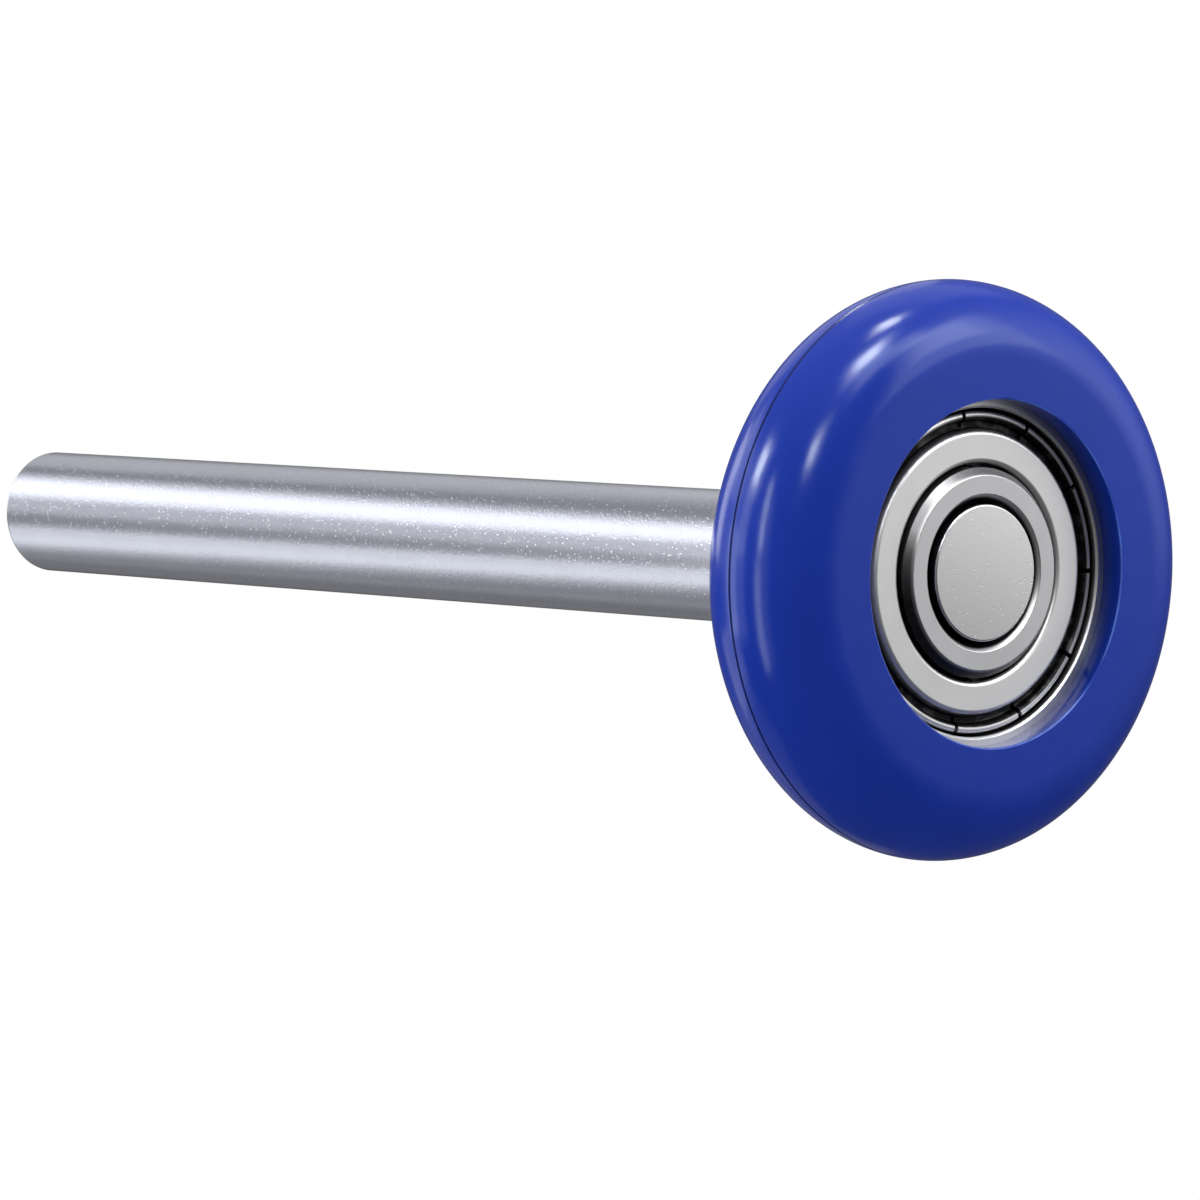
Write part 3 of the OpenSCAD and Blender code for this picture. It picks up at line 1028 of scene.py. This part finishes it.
# %% [markdown]
# ### Moulded nylon
#
# Nylon comes out of a polished mould glossy and evenly coloured. Close up, the gloss waves a little where
# the plastic cooled, and rolling and handling leave a few dull specks and short scuffs. A clear coat would
# be right for paint. Plastic has only its own skin, so the base gloss does all the work here. It has a
# faint cool tint, which keeps pale reflections from looking grey on the deep blue.

# %% Nylon
BLUE = (0.005, 0.028, 0.31)
LIGHTER_BLUE = (0.006, 0.031, 0.338)
# The next two are the paler blue of a painted highlight on eased edges and the dark blue of painted shade.
EDGE_HIGHLIGHT_BLUE = (0.1, 0.21, 0.75)
SHADE_BLUE = (0.003, 0.01, 0.09)
SCUFF_ROUGHNESS = 0.32
SCUFF_DEPTH = 0.0015
WAVE_HEIGHT = 0.012

nylon, tree, skin, place = finish_base(
    "moulded nylon", {"IOR": 1.5, "Specular IOR Level": 0.37, "Specular Tint": (0.89, 0.99, 1.0, 1.0)})
tone = use(tree, drift, {"Size mm": 9.0})
gloss = use(tree, drift, {"Size mm": 2.2, "Low": 0.155, "High": 0.195})
scuffs = use(tree, specks, {"Size mm": 2.6, "Stretch": (3.0, 0.35, 0.35), "Turn": (0.3, 0.2, 0.9),
                            "Amount": 0.06})
dots = use(tree, specks, {"Size mm": 1.3, "Amount": 0.03})
wave = use(tree, drift, {"Size mm": 6.0})
edge_wear_and_highlight = use(tree, wear_and_highlight_edges, {"Amount": 0.9, "Break-up mm": 6.0})
painted_shade = use(tree, hollow_shade, {"Amount": 0.9})
for piece in (tone, gloss, scuffs, dots, wave, edge_wear_and_highlight, painted_shade):
    tree.links.new(place, piece.inputs["Place"])
marks = add(tree, "Math", operation="MAXIMUM")
link(tree, (scuffs.outputs["Mask"], marks.inputs[0]), (dots.outputs["Mask"], marks.inputs[1]))
blue = blend_colour(tree, tone.outputs["Value"], BLUE, LIGHTER_BLUE)
# Painted highlight: the eased edges, most of all the lip, turn a paler blue.
edge_lit_blue = blend_colour(tree, edge_wear_and_highlight.outputs["Mask"], blue, EDGE_HIGHLIGHT_BLUE)
# Painted shade: the parting line and the bore of the lip turn dark blue.
shaded = blend_colour(tree, painted_shade.outputs["Mask"], edge_lit_blue, SHADE_BLUE)
rough = blend_value(tree, marks.outputs[0], gloss.outputs["Value"], SCUFF_ROUGHNESS)
waved = bump(tree, wave.outputs["Value"], WAVE_HEIGHT)
link(tree,
     (shaded, skin.inputs["Base Color"]),
     (rough, skin.inputs["Roughness"]),
     (bump(tree, marks.outputs[0], -SCUFF_DEPTH, waved), skin.inputs["Normal"]))
print("nylon nodes:", len(tree.nodes))

# %% [markdown]
# ### Drawn steel
#
# The stem is bright drawn bar. Drawing leaves very faint lines along it, the surface has a fine
# orange-peel, and the bar has been handled: tiny bright specks and short ticks, mostly where it lay against
# other bars. Anisotropic gloss is the usual way to show drawing lines. These are so faint that specks
# stretched along the bar are enough, as a height for the bump.

# %% Drawn steel
BARE_FROM = -4.5
BARE_TO = -4.6
ZINC = (0.545, 0.562, 0.65)
LIGHTER_ZINC = (0.57, 0.587, 0.675)
BARE_STEEL = (0.825, 0.825, 0.83)
TICKED_STEEL = (0.85, 0.86, 0.88)
RUBBED_ZINC = (0.72, 0.73, 0.75)
PEEL_HEIGHT = 0.0065
LINE_HEIGHT = 0.0004
TICK_DEPTH = 0.009

drawn, tree, skin, place = finish_base("drawn steel", {"Metallic": 1.0})
tone = use(tree, drift, {"Size mm": 3.0})
peel = use(tree, drift, {"Size mm": 0.28})
lines = use(tree, specks, {"Size mm": 0.25, "Stretch": (1.0, 60.0, 1.0), "Amount": 1.0})
ticks = use(tree, specks, {"Size mm": 1.4, "Stretch": (0.3, 1.6, 0.3), "Turn": (0.5, 0.2, 0.8),
                           "Amount": 0.15})
nicks = use(tree, specks, {"Size mm": 1.0, "Stretch": (0.4, 0.4, 1.5), "Turn": (0.2, 0.7, 0.1),
                           "Amount": 0.14})
edge_wear_and_highlight = use(tree, wear_and_highlight_edges, {"Amount": 0.8, "Break-up mm": 1.2})
painted_shade = use(tree, hollow_shade, {"Amount": 1.0})
for piece in (tone, peel, lines, ticks, nicks, edge_wear_and_highlight, painted_shade):
    tree.links.new(place, piece.inputs["Place"])
marks = add(tree, "Math", operation="MAXIMUM")
link(tree, (ticks.outputs["Mask"], marks.inputs[0]), (nicks.outputs["Mask"], marks.inputs[1]))
along_bar = add(tree, "SeparateXYZ")
bare_end = add(tree, "MapRange", {"From Min": BARE_FROM * MM, "From Max": BARE_TO * MM})
link(tree, (place, along_bar.inputs[0]), (along_bar.outputs["Y"], bare_end.inputs["Value"]))
zinc = blend_colour(tree, tone.outputs["Value"], ZINC, LIGHTER_ZINC)
grey = blend_colour(tree, bare_end.outputs["Result"], zinc, BARE_STEEL)
marked = blend_colour(tree, marks.outputs[0], grey, TICKED_STEEL)
bright = blend_colour(tree, edge_wear_and_highlight.outputs["Mask"], marked, RUBBED_ZINC)
# Painted shade: the groove round the head turns nearly black.
shaded = blend_colour(tree, painted_shade.outputs["Mask"], bright, SHADE_COLOUR)
plated = add(tree, "Math", {0: 1.0}, operation="SUBTRACT")
skin_height = add(tree, "Math", operation="MULTIPLY")
link(tree,
     (bare_end.outputs["Result"], plated.inputs[1]),
     (plated.outputs[0], skin_height.inputs[0]),
     (peel.outputs["Value"], skin_height.inputs[1]))
fine_peel = bump(tree, skin_height.outputs[0], PEEL_HEIGHT)
fine_lines = bump(tree, lines.outputs["Mask"], LINE_HEIGHT, fine_peel)
link(tree,
     (shaded, skin.inputs["Base Color"]),
     (blend_value(tree, peel.outputs["Value"], 0.235, 0.265), skin.inputs["Roughness"]),
     (bump(tree, marks.outputs[0], -TICK_DEPTH, fine_lines), skin.inputs["Normal"]))
print("drawn steel nodes:", len(tree.nodes))

# %% [markdown]
# ### Ground, pressed and polished steel
#
# The rings, shields, balls and cage are all steel, and they differ by what made them. Grinding leaves fine
# rings and a satin gloss, pressed sheet keeps the softer, cloudier skin that it had from the mill, and the
# balls are lapped almost to a mirror. One recipe with different values covers them.

# %% Steel with turned rings, cloud and ticks
TICK_GAIN = 1.15
RUBBED_STEEL = (0.74, 0.745, 0.755)
RUBBED_ROUGHNESS = 0.16
FINE_TICK_DEPTH = 0.002


def worked_steel(name, dark, light, roughness, ring_depth, ring_spacing, cloud_size, tick_amount):
    """A steel finish: colours and roughness drift with a cloud, over rings of this depth and spacing."""
    made, tree, skin, place = finish_base(name, {"Metallic": 1.0})
    tone = use(tree, drift, {"Size mm": cloud_size})
    cut = use(tree, rings, {"Spacing mm": ring_spacing, "Wander": 0.4})
    ticks = use(tree, specks, {"Size mm": 0.9, "Stretch": (1.4, 0.3, 0.3), "Turn": (0.4, 0.9, 0.2),
                               "Amount": tick_amount})
    edge_wear_and_highlight = use(tree, wear_and_highlight_edges, {"Amount": 0.9, "Break-up mm": 0.8})
    painted_shade = use(tree, hollow_shade, {"Amount": 1.0})
    for piece in (tone, cut, ticks, edge_wear_and_highlight, painted_shade):
        tree.links.new(place, piece.inputs["Place"])
    body = blend_colour(tree, tone.outputs["Value"], dark, light)
    marked = blend_colour(tree, ticks.outputs["Mask"], body, tuple(TICK_GAIN * c for c in light))
    bright = blend_colour(tree, edge_wear_and_highlight.outputs["Mask"], marked, RUBBED_STEEL)
    gloss = blend_value(tree, tone.outputs["Value"], *roughness)
    rough = blend_value(tree, edge_wear_and_highlight.outputs["Mask"], gloss, RUBBED_ROUGHNESS)
    # Painted shade: the hollows of the rings and the valleys of the shields turn nearly black.
    shaded = blend_colour(tree, painted_shade.outputs["Mask"], bright, SHADE_COLOUR)
    lined = bump(tree, cut.outputs["Height"], ring_depth)
    link(tree,
         (shaded, skin.inputs["Base Color"]),
         (rough, skin.inputs["Roughness"]),
         (bump(tree, ticks.outputs["Mask"], -FINE_TICK_DEPTH, lined), skin.inputs["Normal"]))
    print(name, "- nodes:", len(tree.nodes))
    return made


ground = worked_steel(
    "ground bearing steel", (0.67, 0.67, 0.685), (0.7, 0.7, 0.715), roughness=(0.38, 0.42),
    ring_depth=0.0003, ring_spacing=0.07, cloud_size=3.0, tick_amount=0.05)
pressed = worked_steel(
    "pressed sheet steel", (0.84, 0.84, 0.845), (0.87, 0.87, 0.875), roughness=(0.38, 0.42),
    ring_depth=0.0002, ring_spacing=0.12, cloud_size=2.2, tick_amount=0.05)
lapped = worked_steel(
    "lapped ball steel", (0.56, 0.565, 0.575), (0.60, 0.605, 0.615), roughness=(0.06, 0.1),
    ring_depth=0.0001, ring_spacing=0.05, cloud_size=1.0, tick_amount=0.05)
ribbon = worked_steel(
    "cage ribbon steel", (0.42, 0.41, 0.40), (0.50, 0.49, 0.48), roughness=(0.34, 0.44),
    ring_depth=0.001, ring_spacing=0.1, cloud_size=1.2, tick_amount=0.09)

# %% [markdown]
# ## Dressing the frame
#
# The turned pieces and the shields stand for their solids, and each one rides on the same body as its
# solid, so that the roller can still turn. The balls, the cage and its rivets are already the right shape:
# they keep their solids and only take a finish.

# %% Pieces that stand for solids
dressed = [
    (tyre, "tyre", "wheel", "tyre_plastic", nylon),
    (stem, "stem", "stem", "stem_steel", drawn),
    (inner_ring, "inner_ring", "stem", "ring_steel", ground),
    (outer_ring, "outer_ring", "wheel", "ring_steel", ground),
    (front_shield, "front_shield", "wheel", "shield_steel", pressed),
    (rear_shield, "rear_shield", "wheel", "shield_steel", pressed),
]
for piece, node, body, slot, finish in dressed:
    piece.data.materials.append(finish)
    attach(piece, body)
    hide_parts(node)
print("pieces that stand for solids:", len(dressed))

# %% Solids that keep their shape
for name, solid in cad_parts.items():
    if name.startswith("ball_"):
        solid.material_slots[0].material = lapped
    if name.startswith("cage_"):
        solid.material_slots[0].material = ribbon
print("solids with a new finish:", sum(n.startswith(("ball_", "cage_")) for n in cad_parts))
